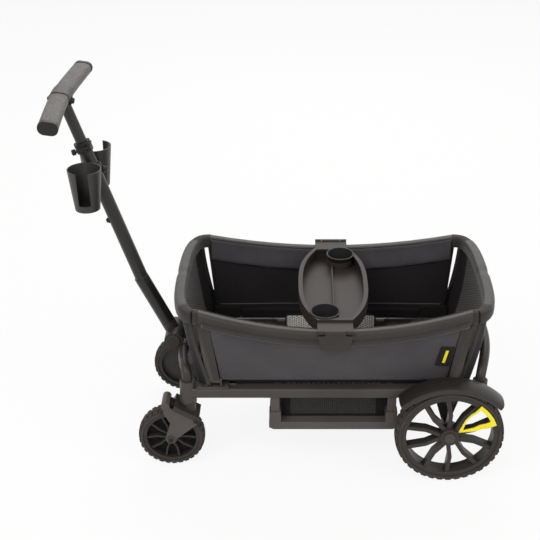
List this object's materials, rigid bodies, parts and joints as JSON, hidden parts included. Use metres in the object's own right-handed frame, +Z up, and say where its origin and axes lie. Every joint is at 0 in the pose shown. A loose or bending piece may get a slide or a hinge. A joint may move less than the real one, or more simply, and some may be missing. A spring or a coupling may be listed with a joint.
{
  "type": "folding stroller wagon",
  "caption": "Folding two-seat stroller wagon with cloth side walls, foot well, snack tray, telescoping pull handle with cup holders, swivel front wheels and spoked rear wheels.",
  "frame": {"origin": "centre of the overall box on the ground", "axes": "+Z up, handle towards -X, left side towards -Y, right side towards +Y"},
  "size_m": [1.1725, 0.5756, 1.0193],
  "materials": {
    "black_cloth": "woven",
    "black_plastic": "fine matte grain",
    "elastomer": "matte",
    "frame_coat": "satin powder coat",
    "grey_plastic": "satin",
    "grip_leather": "soft grain",
    "pad_leather": "soft grain",
    "side_cloth": "woven",
    "steel": "brushed",
    "tube_alloy": "satin anodised",
    "tyre_foam": "matte",
    "wheel_plastic": "satin"
  },
  "bodies": {
    "chassis": {"rail_left": "frame_coat", "rail_right": "frame_coat", "front_crossbar": "frame_coat", "rear_crossbar": "frame_coat", "handle_yoke": "frame_coat", "rear_axle": "frame_coat", "well_frame": "black_plastic", "well_floor": "black_plastic", "well_liner": "black_cloth", "seat_boards": "black_plastic", "seat_cushion_front": "black_cloth", "seat_cushion_rear": "black_cloth", "harness": "black_cloth", "hinge_brackets": "black_plastic", "hinge_pins": "steel", "end_rim_front": "pad_leather", "end_rim_rear": "pad_leather", "end_panel_front": "black_cloth", "end_panel_rear": "black_cloth", "fender_left": "grey_plastic", "fender_right": "grey_plastic"},
    "release_button": {"pivot_button": "black_plastic"},
    "brake": {"brake_pedal": "black_plastic"},
    "wall_left": {"wall_posts_left": "frame_coat", "rim_left": "side_cloth", "side_panel_left": "side_cloth"},
    "wall_right": {"wall_posts_right": "frame_coat", "rim_right": "side_cloth", "side_panel_right": "side_cloth"},
    "tray_body": {"tray": "grey_plastic"},
    "tray_latch_left": {"latch_left": "grey_plastic"},
    "tray_latch_right": {"latch_right": "grey_plastic"},
    "handle": {"handle_hub": "tube_alloy", "handle_lower": "tube_alloy", "telescope_collar": "black_plastic", "cup_clamp": "black_plastic", "cup_left": "grey_plastic", "cup_right": "grey_plastic"},
    "clamp_knob": {"collar_knob": "steel"},
    "handle_top": {"handle_upper": "tube_alloy", "grip_clamp": "grey_plastic", "grips": "grip_leather", "grip_caps": "black_plastic"},
    "caster_left_swivel": {"caster_left": "black_plastic", "fork_spring_left": "elastomer"},
    "caster_left_fork": {"fork_left": "frame_coat"},
    "front_wheel_left": {"front_rim_left": "wheel_plastic", "front_tyre_left": "tyre_foam"},
    "rear_wheel_left": {"rear_rim_left": "wheel_plastic", "rear_tyre_left": "tyre_foam"},
    "hub_release_left": {"hub_button_left": "black_plastic"},
    "caster_right_swivel": {"caster_right": "black_plastic", "fork_spring_right": "elastomer"},
    "caster_right_fork": {"fork_right": "frame_coat"},
    "front_wheel_right": {"front_rim_right": "wheel_plastic", "front_tyre_right": "tyre_foam"},
    "rear_wheel_right": {"rear_rim_right": "wheel_plastic", "rear_tyre_right": "tyre_foam"},
    "hub_release_right": {"hub_button_right": "black_plastic"}
  },
  "joints": [
    {"name": "handle_pivot", "type": "hinge", "parent": "chassis", "child": "handle", "pos_m": [-0.31072, 0, 0.304], "axis": [0, -1, 0], "range_deg": [-16, 58]},
    {"name": "handle_telescope", "type": "slide", "parent": "handle", "child": "handle_top", "axis": [-0.309, 0, 0.9511], "range_m": [-0.095, 0.05]},
    {"name": "clamp_turn", "type": "hinge", "parent": "handle", "child": "clamp_knob", "pos_m": [-0.51699, -0.026, 0.86391], "axis": [0.9511, 0, 0.309], "range_deg": [0, 180]},
    {"name": "handle_release", "type": "slide", "parent": "chassis", "child": "release_button", "axis": [0, 1, 0], "range_m": [0, 0.004], "stiffness_N_per_m": 400, "springref_m": -0.002},
    {"name": "brake_press", "type": "hinge", "parent": "chassis", "child": "brake", "pos_m": [0.43928, 0, 0.146], "axis": [0, 1, 0], "range_deg": [0, 16], "stiffness_Nm_per_rad": 1, "springref_deg": -22.92},
    {"name": "wall_left_fold", "type": "hinge", "parent": "chassis", "child": "wall_left", "pos_m": [0.13128, -0.185, 0.268], "axis": [-1, 0, 0], "range_deg": [0, 96], "deforming": ["end_rim_front", "end_rim_rear", "end_panel_front", "end_panel_rear"]},
    {"name": "wall_right_fold", "type": "hinge", "parent": "chassis", "child": "wall_right", "pos_m": [0.13128, 0.185, 0.268], "axis": [1, 0, 0], "range_deg": [0, 72.5]},
    {"name": "tray_lift", "type": "slide", "parent": "chassis", "child": "tray_body", "axis": [0, 0, 1], "range_m": [0, 0.917]},
    {"name": "latch_left_swing", "type": "hinge", "parent": "tray_body", "child": "tray_latch_left", "pos_m": [0.13128, -0.2635, 0.46227], "axis": [-1, 0, 0], "range_deg": [0, 70]},
    {"name": "caster_left_turn", "type": "hinge", "parent": "chassis", "child": "caster_left_swivel", "pos_m": [-0.26172, -0.184, 0.205], "axis": [0, 0, 1], "continuous": true},
    {"name": "fork_left_spring", "type": "hinge", "parent": "caster_left_swivel", "child": "caster_left_fork", "pos_m": [-0.2411, -0.184, 0.15325], "axis": [0, 1, 0], "range_deg": [0, 4], "stiffness_Nm_per_rad": 60, "springref_deg": -6.88, "deforming": ["fork_spring_left"]},
    {"name": "front_left_spin", "type": "hinge", "parent": "caster_left_fork", "child": "front_wheel_left", "pos_m": [-0.31172, -0.184, 0.091], "axis": [0, 1, 0], "continuous": true},
    {"name": "rear_left_spin", "type": "hinge", "parent": "chassis", "child": "rear_wheel_left", "pos_m": [0.43928, -0.256, 0.146], "axis": [0, 1, 0], "continuous": true},
    {"name": "hub_left_press", "type": "slide", "parent": "rear_wheel_left", "child": "hub_release_left", "axis": [0, 1, 0], "range_m": [0, 0.004], "stiffness_N_per_m": 300, "springref_m": -0.002},
    {"name": "latch_right_swing", "type": "hinge", "parent": "tray_body", "child": "tray_latch_right", "pos_m": [0.13128, 0.2635, 0.46227], "axis": [1, 0, 0], "range_deg": [0, 70]},
    {"name": "caster_right_turn", "type": "hinge", "parent": "chassis", "child": "caster_right_swivel", "pos_m": [-0.26172, 0.184, 0.205], "axis": [0, 0, 1], "continuous": true},
    {"name": "fork_right_spring", "type": "hinge", "parent": "caster_right_swivel", "child": "caster_right_fork", "pos_m": [-0.2411, 0.184, 0.15325], "axis": [0, 1, 0], "range_deg": [0, 4], "stiffness_Nm_per_rad": 60, "springref_deg": -6.88, "deforming": ["fork_spring_right"]},
    {"name": "front_right_spin", "type": "hinge", "parent": "caster_right_fork", "child": "front_wheel_right", "pos_m": [-0.31172, 0.184, 0.091], "axis": [0, 1, 0], "continuous": true},
    {"name": "rear_right_spin", "type": "hinge", "parent": "chassis", "child": "rear_wheel_right", "pos_m": [0.43928, 0.256, 0.146], "axis": [0, 1, 0], "continuous": true},
    {"name": "hub_right_press", "type": "slide", "parent": "rear_wheel_right", "child": "hub_release_right", "axis": [0, -1, 0], "range_m": [0, 0.004], "stiffness_N_per_m": 300, "springref_m": -0.002}
  ],
  "couplings": [
    {"joint": "wall_right_fold", "follows": "wall_left_fold", "ratio": 0.75},
    {"joint": "tray_lift", "follows": "wall_left_fold", "m_per_rad": 0.54431}
  ]
}
